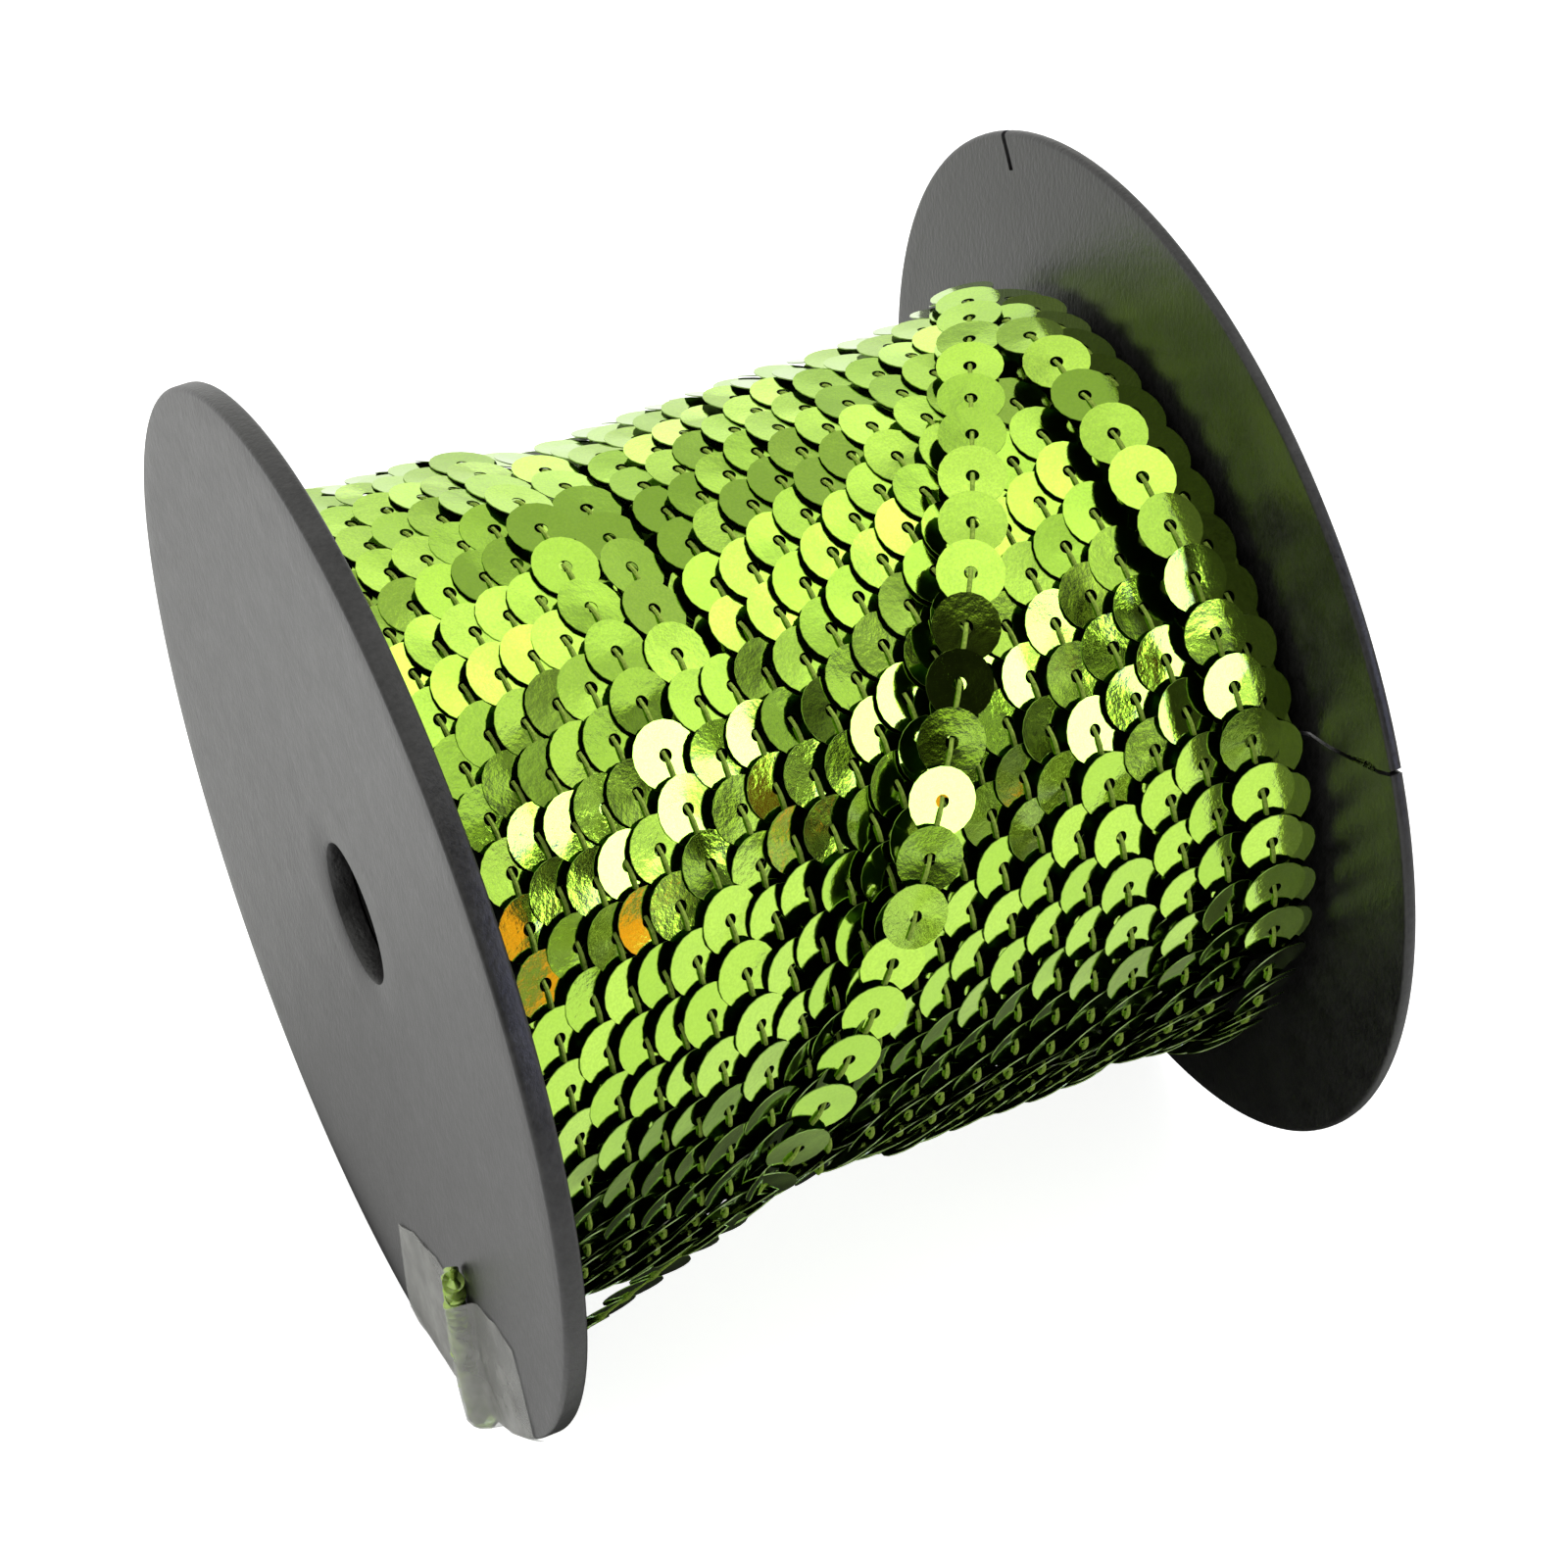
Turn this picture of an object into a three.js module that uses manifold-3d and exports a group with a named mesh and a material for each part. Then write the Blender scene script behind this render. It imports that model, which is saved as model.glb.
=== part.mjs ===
// A spool of sequin trim: two dished round flanges on a hollow core, the trim wound
// between them with its last turn laid slanting across the others, and the loose end
// drawn over the near flange's rim and held on its outer face with clear tape.
// Millimetres, +Z up. The spool's axis is X, its near flange is towards -X and its
// front towards -Y. The origin is under the middle of the whole, on the surface.
import * as THREE from 'three';
import Module from 'manifold-3d';
import { mergeVertices } from 'three/addons/utils/BufferGeometryUtils.js';

// The spool
const flangeRadius = 49;
const flangeThickness = 2.2;
const spoolWidth = 80.6;
const dishDepth = 1.1;
const rimBand = 2.5;
const rimRound = 0.45;
const footWidth = 12;
const hubRadius = 12;
const boreRadius = 6.5;
const boreLip = 0.6;
const coreInnerRadius = 6.9;
const coreOuterRadius = 9.5;
const roundSteps = 80;
const gap = 0.3;

// The winding
const trimWidth = 6;
const rows = 28;
const woundForm = [
  { fromNearFace: 3.4, radius: 37.6 },
  { fromNearFace: 14.7, radius: 37.1 },
  { fromNearFace: 22, radius: 35.5 },
  { fromNearFace: 27, radius: 35.2 },
  { fromNearFace: 33.5, radius: 34 },
  { fromNearFace: 39.2, radius: 34.8 },
  { fromNearFace: 58.8, radius: 34.8 },
  { fromNearFace: 66.2, radius: 35.2 },
  { fromNearFace: 77.2, radius: 36 },
];
const sag = 1.1;
const sagAngle = -40;
// The last turn's route across the winding; slant is the cosine of its lean
const lastTurn = {
  startAngle: 143,
  startFromNearFace: 77.5,
  endAngle: -3,
  endFromNearFace: 32.8,
  slant: 0.89,
  rise: 1.2,
  crownShare: 0.3,
  footShare: 0.68,
};

// The loose end and its tape. Angles are in degrees above the front.
const tailThickness = 1.2;
const tailStart = { angle: -10, fromNearFace: 30.7, rise: 0.5 };
const tailLift = { angle: -18, fromNearFace: 28.4, rise: 1.2 };
const tailRimAngle = -62;
const tailEndRadius = 34;
const tailNarrow = 3.4;
const tailSteps = 44;
const tapeThickness = 0.4;
const tapeEdge = [
  { angle: -38, innerRadius: 40.6 },
  { angle: -57, innerRadius: 36.2 },
  { angle: -84, innerRadius: 37.6 },
];
const tapeSteps = 28;
const tapeHump = { halfWidth: 3.1, shoulder: 2.2, rise: 2.1 };

// The slits in the far flange's rim that catch a thread
const slits = [
  { angle: 126.6, innerRadius: 45.4, width: 0.6 },
  { angle: 28.7, innerRadius: 32.4, width: 0.4 },
];

const wasm = await Module();
wasm.setup();
const nearFace = -spoolWidth / 2;
const degrees = THREE.MathUtils.degToRad;

function around(x, radius, angle) {
  const a = degrees(angle);
  return new THREE.Vector3(x, -radius * Math.cos(a), radius * Math.sin(a));
}

function fromTable(table, key, value, column) {
  const last = table.length - 1;
  let row = 0;
  const way = Math.sign(table[last][key] - table[0][key]);
  while (row < last - 1 && way * (value - table[row + 1][key]) > 0) {
    row += 1;
  }
  const [low, high] = [table[row], table[row + 1]];
  const share = THREE.MathUtils.clamp((value - low[key]) / (high[key] - low[key]), 0, 1);
  return THREE.MathUtils.lerp(low[column], high[column], share);
}

// How far the flange's face stands back from its rim, at a radius
function dish(radius) {
  const share = (radius - hubRadius) / (flangeRadius - rimBand - hubRadius);
  return dishDepth * (1 - THREE.MathUtils.clamp(share, 0, 1));
}

// A closed outline of [radius, x] corners turned about the X axis, a flat of it down
function turned(outline) {
  const points = [...outline, outline[0]].map(([radius, x]) => new THREE.Vector2(radius, x));
  const shape = new THREE.LatheGeometry(points, roundSteps, Math.PI / roundSteps);
  return shape.rotateZ(-Math.PI / 2);
}

// The rim is flattened where the spool rests on it
function withFoot(shape) {
  const lowest = -Math.sqrt(flangeRadius ** 2 - (footWidth / 2) ** 2);
  const points = shape.attributes.position;
  for (let i = 0; i < points.count; i += 1) {
    points.setZ(i, Math.max(points.getZ(i), lowest));
  }
  return shape;
}

function flangeShape() {
  const inside = nearFace + flangeThickness;
  const outsideHub = nearFace + dishDepth;
  const insideHub = inside + dishDepth;
  return withFoot(turned([
    [boreRadius + boreLip, outsideHub],
    [hubRadius, outsideHub],
    [flangeRadius - rimBand, nearFace],
    [flangeRadius - rimRound, nearFace],
    [flangeRadius, nearFace + rimRound],
    [flangeRadius, inside - rimRound],
    [flangeRadius - rimRound, inside],
    [flangeRadius - rimBand, inside],
    [hubRadius, insideHub],
    [boreRadius, insideHub],
    [boreRadius, outsideHub + boreLip],
  ]));
}

function toSolid(geometry) {
  const bare = geometry.clone();
  bare.deleteAttribute('normal');
  bare.deleteAttribute('uv');
  const merged = mergeVertices(bare);
  const vertProperties = new Float32Array(merged.attributes.position.array);
  const triVerts = new Uint32Array(merged.index.array);
  return new wasm.Manifold(new wasm.Mesh({ numProp: 3, vertProperties, triVerts }));
}

function toGeometry(solid) {
  const mesh = solid.getMesh();
  const geometry = new THREE.BufferGeometry();
  geometry.setAttribute('position', new THREE.BufferAttribute(mesh.vertProperties, 3));
  geometry.setIndex(new THREE.BufferAttribute(mesh.triVerts, 1));
  return geometry;
}

function slitCutter({ angle, innerRadius, width }) {
  const length = flangeRadius + 1 - innerRadius;
  const cutter = new THREE.BoxGeometry(spoolWidth, length, width);
  cutter.translate(0, -(innerRadius + length / 2), 0);
  cutter.rotateX(-degrees(angle));
  return cutter;
}

function farFlangeShape() {
  let solid = toSolid(flangeShape().rotateZ(Math.PI));
  for (const slit of slits) {
    solid = solid.subtract(toSolid(slitCutter(slit)));
  }
  return toGeometry(solid);
}

function coreShape() {
  const end = nearFace + flangeThickness + dishDepth + gap;
  return turned([
    [coreInnerRadius, end],
    [coreOuterRadius, end],
    [coreOuterRadius, -end],
    [coreInnerRadius, -end],
  ]);
}

// How far the last turn lifts the winding's surface, at a place on it
function lastTurnHeight(x, angle) {
  const travel = (angle - lastTurn.startAngle) / (lastTurn.endAngle - lastTurn.startAngle);
  if (travel < 0 || travel > 1) {
    return 0;
  }
  const { startFromNearFace, endFromNearFace, slant, rise, crownShare, footShare } = lastTurn;
  const middle = nearFace + THREE.MathUtils.lerp(startFromNearFace, endFromNearFace, travel);
  const off = Math.abs(x - middle) * slant;
  return rise * (1 - THREE.MathUtils.smoothstep(off, trimWidth * crownShare, trimWidth * footShare));
}

function woundRadius(x, angle) {
  const plain = fromTable(woundForm, 'fromNearFace', x - nearFace, 'radius');
  return plain + sag * Math.cos(degrees(angle - sagAngle));
}

function woundShape() {
  const end = (radius) => nearFace + flangeThickness + dish(radius) + gap;
  const innerRadius = coreOuterRadius + gap;
  const outerEnd = end(woundForm[0].radius);
  const outline = [[innerRadius, end(innerRadius)]];
  for (let row = 0; row <= rows; row += 1) {
    const x = THREE.MathUtils.lerp(outerEnd, -outerEnd, row / rows);
    outline.push([woundRadius(x, sagAngle + 90), x]);
  }
  outline.push([innerRadius, -end(innerRadius)]);
  const shape = turned(outline);
  const points = shape.attributes.position;
  for (let i = 0; i < points.count; i += 1) {
    const [x, y, z] = [points.getX(i), points.getY(i), points.getZ(i)];
    const onOutside = Math.hypot(y, z) > innerRadius + 1;
    if (onOutside) {
      const angle = THREE.MathUtils.radToDeg(Math.atan2(z, -y));
      const place = around(x, woundRadius(x, angle) + lastTurnHeight(x, angle), angle);
      points.setXYZ(i, place.x, place.y, place.z);
    }
  }
  return shape;
}

// A flat strip along a path. across(share) is the way its width runs there.
function strip(path, across, widthAt, thickness, steps) {
  const shape = new THREE.BoxGeometry(1, thickness, 1, 1, 1, steps);
  const points = shape.attributes.position;
  for (let i = 0; i < points.count; i += 1) {
    const share = points.getZ(i) + 0.5;
    const travel = path.getTangentAt(share);
    const side = across(share);
    side.addScaledVector(travel, -side.dot(travel)).normalize();
    const up = new THREE.Vector3().crossVectors(travel, side);
    const place = path.getPointAt(share);
    place.addScaledVector(side, points.getX(i) * widthAt(share));
    place.addScaledVector(up, points.getY(i));
    points.setXYZ(i, place.x, place.y, place.z);
  }
  return shape;
}

function tailPath() {
  const clear = gap + tailThickness / 2;
  const onWinding = ({ angle, fromNearFace, rise }) => {
    const x = nearFace + fromNearFace;
    return around(x, woundRadius(x, angle) + clear + rise, angle);
  };
  const lift = onWinding(tailLift);
  const insideRim = nearFace + flangeThickness;
  const slack = 0.6;
  const overEdge = around(insideRim + 2, flangeRadius + clear + slack, tailRimAngle + 3);
  const onFace = (radius, turn) => around(nearFace + dish(radius) - clear, radius, tailRimAngle + turn);
  return new THREE.CatmullRomCurve3([
    onWinding(tailStart),
    lift,
    lift.clone().lerp(overEdge, 0.35),
    lift.clone().lerp(overEdge, 0.7),
    overEdge,
    around(nearFace + flangeThickness / 2, flangeRadius + clear + slack, tailRimAngle),
    around(nearFace - clear - gap, flangeRadius, tailRimAngle - 1),
    onFace(flangeRadius - 4, -0.5),
    onFace(flangeRadius - 9, 1),
    onFace(tailEndRadius, 2),
  ], false, 'centripetal');
}

function tailShape() {
  const path = tailPath();
  const outwards = new THREE.Vector3(-1, 0, 0);
  const rimShare = 0.5;
  const across = (share) => {
    const place = path.getPointAt(share);
    const radial = new THREE.Vector3(0, place.y, place.z).normalize();
    const onWinding = new THREE.Vector3().crossVectors(radial, path.getTangentAt(share)).normalize();
    const alongRim = radial.cross(outwards);
    return onWinding.lerp(alongRim, THREE.MathUtils.smoothstep(share, 0.1, rimShare)).normalize();
  };
  const widthAt = (share) => {
    const bunching = THREE.MathUtils.smoothstep(share, 0.3, 0.6);
    return THREE.MathUtils.lerp(trimWidth - 2 * gap, tailNarrow, bunching);
  };
  return strip(path, across, widthAt, tailThickness, tailSteps);
}

// The tape lies on the near flange's outer face and humps over the loose end
function tapeShape() {
  const shape = new THREE.BoxGeometry(1, 1, tapeThickness, tapeSteps, 6, 1);
  const points = shape.attributes.position;
  const first = tapeEdge[0].angle;
  const last = tapeEdge[tapeEdge.length - 1].angle;
  const { halfWidth, shoulder, rise } = tapeHump;
  for (let i = 0; i < points.count; i += 1) {
    const angle = THREE.MathUtils.lerp(last, first, points.getX(i) + 0.5);
    const inner = fromTable(tapeEdge, 'angle', angle, 'innerRadius');
    const radius = THREE.MathUtils.lerp(inner, flangeRadius - gap, 0.5 - points.getY(i));
    const off = radius * Math.abs(degrees(angle - tailRimAngle));
    const hump = rise * (1 - THREE.MathUtils.smoothstep(off, halfWidth, halfWidth + shoulder));
    const lift = gap + hump + tapeThickness / 2 + points.getZ(i);
    const place = around(nearFace + dish(radius) - lift, radius, angle);
    points.setXYZ(i, place.x, place.y, place.z);
  }
  return shape;
}

function piece(name, geometry, color, roughness, metalness, opacity = 1) {
  const finish = new THREE.MeshStandardMaterial({ color, roughness, metalness });
  finish.opacity = opacity;
  finish.transparent = opacity < 1;
  const mesh = new THREE.Mesh(geometry, finish);
  mesh.name = name;
  return mesh;
}

const spoolBlack = 0x3a393b;
const sequinGreen = 0x7fb52a;
const spool = new THREE.Group();
spool.add(piece('near_flange', flangeShape(), spoolBlack, 0.6, 0));
spool.add(piece('far_flange', farFlangeShape(), spoolBlack, 0.5, 0));
spool.add(piece('spool_core', coreShape(), spoolBlack, 0.6, 0));
spool.add(piece('wound_trim', woundShape(), sequinGreen, 0.25, 0.8));
spool.add(piece('trim_tail', tailShape(), sequinGreen, 0.3, 0.7));
spool.add(piece('tape', tapeShape(), 0xc9c9c4, 0.35, 0, 0.4));

const reach = new THREE.Box3().setFromObject(spool, true);
spool.position.x = -(reach.min.x + reach.max.x) / 2;
spool.position.z = -reach.min.z;

const part = new THREE.Group();
part.add(spool);
export default part;
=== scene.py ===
# A spool of sequin trim: two dished round flanges on a core, strung lime foil sequins wound
# between them, the last turn slanting across, and the loose end taped to the near flange.
# Sizes are in millimetres until a mesh is finished. The spool's axis is X and its front is -Y.
# "from_near" is a distance along the spool from the near flange's face, and "down" an angle
# round the winding, in degrees, from the line that faces the camera.
import math

import bmesh
import bpy
import numpy as np
from mathutils import Matrix, Vector


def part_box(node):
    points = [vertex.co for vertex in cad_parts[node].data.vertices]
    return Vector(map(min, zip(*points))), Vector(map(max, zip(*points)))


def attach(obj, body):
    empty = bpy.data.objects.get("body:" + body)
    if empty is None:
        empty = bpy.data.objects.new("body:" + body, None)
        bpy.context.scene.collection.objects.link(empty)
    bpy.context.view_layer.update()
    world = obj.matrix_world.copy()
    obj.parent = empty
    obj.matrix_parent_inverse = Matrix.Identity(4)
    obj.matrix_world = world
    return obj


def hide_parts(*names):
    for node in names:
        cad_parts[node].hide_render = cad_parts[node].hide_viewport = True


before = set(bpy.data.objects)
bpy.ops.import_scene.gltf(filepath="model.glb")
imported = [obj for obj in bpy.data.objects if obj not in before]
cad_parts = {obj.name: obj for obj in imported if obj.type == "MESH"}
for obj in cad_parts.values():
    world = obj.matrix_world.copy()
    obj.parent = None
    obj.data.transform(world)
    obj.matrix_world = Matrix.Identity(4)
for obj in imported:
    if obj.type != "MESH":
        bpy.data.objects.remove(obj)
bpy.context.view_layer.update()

MM = 0.001
rng = np.random.default_rng(11)

# The spool
FLANGE_RADIUS = 49.0
FLANGE_THICKNESS = 2.2
FAR_THICKNESS = 1.15
SPOOL_WIDTH = 80.6
DISH_DEPTH = 1.1
RIM_BAND = 2.5
RIM_ROUND = 0.45
RIM_ROUND_STEPS = 4
HUB_RADIUS = 12.0
HUB_EDGE = 0.4
BORE_RADIUS = 6.5
BORE_LIP = 0.6
BORE_CHAMFER = 0.18
CORE_INNER_RADIUS = 6.9
CORE_OUTER_RADIUS = 9.5
CORE_GAP = 0.3
ROUND_STEPS = 192
# Slits in the far flange: degrees above the level, radius of the inner end, width, waviness
SLITS = ((126.6, 45.4, 0.85, 0.0), (28.7, 32.4, 0.4, 0.35))
SLIT_RADII = (32.4, 35.5, 38.5, 41.5, 45.4)

near_low, near_high = (np.array(corner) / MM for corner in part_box("near_flange"))
NEAR_FACE = near_low[0]
AXIS_HEIGHT = near_high[2] - (near_high[1] - near_low[1]) / 2

# The winding: its radius along the spool, how far and to which side it sags, and how many
# degrees above the level the line that faces the camera lies
WOUND_FROM_NEAR = (3.4, 14.7, 22.0, 27.0, 33.5, 39.2, 58.8, 66.2, 77.2)
WOUND_RADIUS = (37.6, 37.1, 35.5, 35.2, 34.0, 34.8, 34.8, 35.2, 36.0)
SAG = 1.1
SAG_DOWN = 90.7
FACING = 50.7
# Its inside, painted dark as shade: how deep it lies, and its gaps to the flanges' rims and hubs
# and to the core
BODY_DEPTH = 3.4
BODY_STATIONS = 40
BODY_RIM_GAP = 0.7
BODY_HUB_GAP = 0.5
BODY_CORE_GAP = 0.4

# The sequins on their thread
SEQUIN_RADIUS = 3.0
HOLE_RADIUS = 0.6
SEQUIN_THICKNESS = 0.1
PITCH = 4.8
CUP = (0.004, 0.004, 0.0)
CUP_SPREAD = 0.003
THREAD_RADIUS = 0.2
THREAD_HEIGHT = 0.42
# The stitch over a sequin: its height above the disc, along it from the hole
STITCH_ALONG = (-0.4, 0.1, 0.6, 1.1, 2.1)
STITCH_HEIGHT = (-0.22, 0.0, 0.16, 0.24, 0.2)
STITCH_STEP = 0.5

# Each row of the top layer: millimetres from the near face at 40 degrees above the facing
# line, on it and 35 degrees below it, and the angle of one of its holes near that line
ROWS = (
    (5.4, 7.2, 6.8, 2.0),
    (8.7, 10.5, 11.0, -1.1),
    (12.0, 13.6, 14.5, -0.8),
    (15.7, 16.5, 17.7, -1.7),
    (18.9, 19.7, 20.4, -2.2),
    (22.3, 23.3, 24.6, 1.9),
    (28.0, 27.8, 28.7, -3.5),
    (33.9, 34.9, 35.5, 3.2),
    (37.1, 38.3, 39.4, 3.7),
    (40.4, 41.6, 42.0, 0.5),
    (44.0, 45.0, 45.4, -2.6),
    (47.2, 49.0, 48.8, 1.0),
    (50.8, 52.6, 52.7, 5.4),
    (54.1, 55.9, 56.2, 0.5),
    (58.8, 59.8, 59.9, 2.5),
    (62.9, 63.8, 65.7, 0.5),
    (66.7, 67.7, 69.3, 4.5),
    (71.2, 72.4, 73.4, 3.2),
    (75.7, 76.0, 76.5, -0.8),
)
ROW_ANGLES = (-40.0, 0.0, 35.0)
ROW_LIMITS = (5.6, 75.1)
ROW_SPACING = 3.4
ROW_RADIUS = 35.0
FIRST_TURN = -150.0
# Parts of two rows were laid over their next neighbours: from and to which angle, and by how
# many degrees of winding they come later
OVER_TOP = -62.0
LAID_LATER = {5: (15.0, 100.0, 360), 17: (OVER_TOP, 120.0, 620)}
# A short row that comes up between two others below the facing line
SPARE_ROW_TURN = 360 * 7 - 100
SPARE_ROW_DOWN = (-14.0, 3.2, 35.0, 75.0)
SPARE_ROW_FROM_NEAR = (31.2, 31.6, 32.1, 31.0)
SPARE_ROW_HOLE = 3.2
SPARE_ROW_LEAN = (-0.05, -0.15)
# The last turn, which slants over the rest
LAST_TURN_DOWN = (-92.0, -68.5, -36.0, -19.2, -1.7, 12.7, 26.0, 39.6, 51.1, 62.0)
LAST_TURN_FROM_NEAR = (75.0, 70.4, 60.4, 55.1, 48.9, 43.9, 39.1, 34.7, 29.8, 25.6)
LAST_TURN_HOLE = -1.7
LAST_TURN_LEAN = (-0.10, 0.02)
STRAND_RADIUS = 35.5
# The layer under the rows: one long strand, evenly spaced from beyond the near flange's face
UNDER_TURNS = (-360 * 3, 360 * 20)
UNDER_FROM_NEAR = (-5.1, 75.2)
UNDER_SEQUINS = 977
UNDER_RADIUS = 34.0
UNDER_AHEAD = 20
UNDER_FIRST = 5.4
# Turns laid beyond the near flange, for the first row to lie on
BEFORE_TURN = -360 * 4
BEFORE_SLANT = 0.015


def wound_radius(from_near, down):
    plain = np.interp(from_near, WOUND_FROM_NEAR, WOUND_RADIUS)
    return plain + SAG * np.cos(np.radians(down - SAG_DOWN))


def dish(radius):
    share = (radius - HUB_RADIUS) / (FLANGE_RADIUS - RIM_BAND - HUB_RADIUS)
    return DISH_DEPTH * (1 - np.clip(share, 0, 1))


def place(from_near, radius, down):
    angle = np.radians(FACING - down)
    x, y, z = np.broadcast_arrays(
        NEAR_FACE + from_near, -radius * np.cos(angle), AXIS_HEIGHT + radius * np.sin(angle)
    )
    return np.stack([x, y, z], -1)


def outward(down):
    angle = math.radians(FACING - down)
    return np.array((0.0, -math.cos(angle), math.sin(angle)))


def new_object(name, data):
    piece = bpy.data.objects.new(name, data)
    bpy.context.scene.collection.objects.link(piece)
    return piece


# Node trees


class Value:
    """An output socket; arithmetic on it adds the Math nodes that work it out."""

    def __init__(self, finish, socket):
        self.finish = finish
        self.socket = socket

    def math(self, operation, *values):
        inputs = dict(enumerate(values))
        return self.finish.node("ShaderNodeMath", {"operation": operation}, inputs)

    def __add__(self, other):
        return self.math("ADD", self, other)

    def __mul__(self, other):
        return self.math("MULTIPLY", self, other)

    def __sub__(self, other):
        return self.math("SUBTRACT", self, other)

    def __rsub__(self, other):
        return self.math("SUBTRACT", other, self)

    __radd__ = __add__

    def joined(self, other):
        """Where either of two masks is 1."""
        return self + other - self * other

    def between(self, low, high):
        """0 below low, 1 above high and smooth in between."""
        settings = {"interpolation_type": "SMOOTHSTEP"}
        inputs = {"Value": self, "From Min": low, "From Max": high}
        return self.finish.node("ShaderNodeMapRange", settings, inputs, "Result")


class Nodes:
    """A node tree to which nodes and links are added."""

    def __init__(self, tree):
        self.tree = tree

    def node(self, kind, settings=None, inputs=None, output=0):
        node = self.tree.nodes.new(kind)
        for name, value in (settings or {}).items():
            if name == "stops":
                self.set_stops(node.color_ramp, value)
            else:
                setattr(node, name, value)
        for name, value in (inputs or {}).items():
            self.feed(node.inputs[name], value)
        return Value(self, node.outputs[output]) if node.outputs else None

    def feed(self, socket, value):
        if isinstance(value, Value):
            self.tree.links.new(value.socket, socket)
        else:
            socket.default_value = value

    def set_stops(self, ramp, stops):
        while len(ramp.elements) < len(stops):
            ramp.elements.new(1.0)
        for element, (position, color) in zip(ramp.elements, stops):
            element.position = position
            element.color = (*color, 1.0)

    def noise(self, vector, scale, detail=2.0, roughness=0.5):
        inputs = {"Vector": vector, "Scale": scale, "Detail": detail, "Roughness": roughness}
        return self.node("ShaderNodeTexNoise", None, inputs, 0)

    def ramp(self, factor, *stops):
        return self.node("ShaderNodeValToRGB", {"stops": stops}, {0: factor})

    def mix(self, factor, first, second, blend="MIX"):
        settings = {"data_type": "RGBA", "blend_type": blend}
        return self.node("ShaderNodeMix", settings, {0: factor, 6: first, 7: second}, 2)

    def scaled(self, vector, factors):
        inputs = {0: vector, 1: factors}
        return self.node("ShaderNodeVectorMath", {"operation": "MULTIPLY"}, inputs)

    def part(self, vector, axis):
        return self.node("ShaderNodeSeparateXYZ", None, {0: vector}, axis)

    def level(self, value):
        """One value as all three channels of a colour."""
        return self.node("ShaderNodeCombineXYZ", None, {0: value, 1: value, 2: value})

    def ray(self, kind):
        """1 for a kind of ray, such as "Camera", and 0 for the others."""
        return self.node("ShaderNodeLightPath", None, None, f"Is {kind} Ray")

    def attribute(self, name):
        return self.node("ShaderNodeAttribute", {"attribute_name": name}, None, "Fac")

    def coordinates(self, kind="Object"):
        return self.node("ShaderNodeTexCoord", None, None, kind)


class Finish(Nodes):
    """A material with its shader; constants are set on the shader's own sockets."""

    def __init__(self, name, **constants):
        self.material = bpy.data.materials.new(name)
        self.material.use_nodes = True
        super().__init__(self.material.node_tree)
        self.shader = self.tree.nodes["Principled BSDF"]
        for title, value in constants.items():
            self.shader.inputs[title.replace("_", " ")].default_value = value

    def drive(self, **links):
        for title, value in links.items():
            self.feed(self.shader.inputs[title.replace("_", " ")], value)

    def bump(self, height, strength, distance):
        inputs = {"Height": height, "Strength": strength, "Distance": distance}
        self.drive(Normal=self.node("ShaderNodeBump", None, inputs))


def grey(level):
    return (level, level, level, 1.0)


def grey_stops(*stops):
    """Ramp stops from pairs of a position and a grey level."""
    return [(position, (level, level, level)) for position, level in stops]


# Camera, world and light

# The camera was fitted to the photo's outlines. It stands off the middle of the near rim by
# these multiples of the flange's radius, and looks from these angles, in degrees.
CAMERA_OFFSET = (-1.5249, -5.0348, 6.0903)
CAMERA_AZIMUTH = -25.59
CAMERA_ELEVATION = 47.77
CAMERA_LENS = 101.7
CAMERA_SENSOR = 36
CAMERA_NEAREST = 0.01

# What the foil mirrors in front of the spool: degrees aside, degrees up, and the angles from
# there within which each is whole and beyond which it is gone
LAMP = (15, 18, 5, 5.5)
PERSON = (17, 45, 12, 18)
ORANGE_THING = (43, 1, 4, 4.5)
BROWN_THING = (45, 15, 3.5, 4)
HIGH_ROOM = (12, 46, 14, 20)
BRIGHT_SIDE = (70, 50, 12, 38)
# Window panes: degrees aside, degrees up, degrees of half their width
PANES = (
    (46, 33, 4), (35, 18, 4.5), (47, 9, 4), (27, 30, 4), (25, 10, 4), (57, 20, 4),
    (40, 26, 3.5), (53, 28, 3.5), (31, 8, 3.5),
)
PANE_EDGE = 0.5
PANE_TINT = (0.85, 0.9, 1.3)


def direction(azimuth, elevation):
    """A unit vector from degrees aside of the front and degrees up."""
    a, e = math.radians(azimuth), math.radians(elevation)
    return Vector((math.sin(a) * math.cos(e), -math.cos(a) * math.cos(e), math.sin(e)))


def add_camera():
    camera = new_object("camera", bpy.data.cameras.new("camera"))
    rim_centre = Vector((NEAR_FACE, 0, AXIS_HEIGHT))
    camera.location = (rim_centre + Vector(CAMERA_OFFSET) * FLANGE_RADIUS) * MM
    back = direction(CAMERA_AZIMUTH, CAMERA_ELEVATION)
    camera.rotation_euler = (-back).to_track_quat("-Z", "Y").to_euler()
    camera.data.lens = CAMERA_LENS
    camera.data.sensor_width = CAMERA_SENSOR
    camera.data.clip_start = CAMERA_NEAREST
    bpy.context.scene.camera = camera


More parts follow.
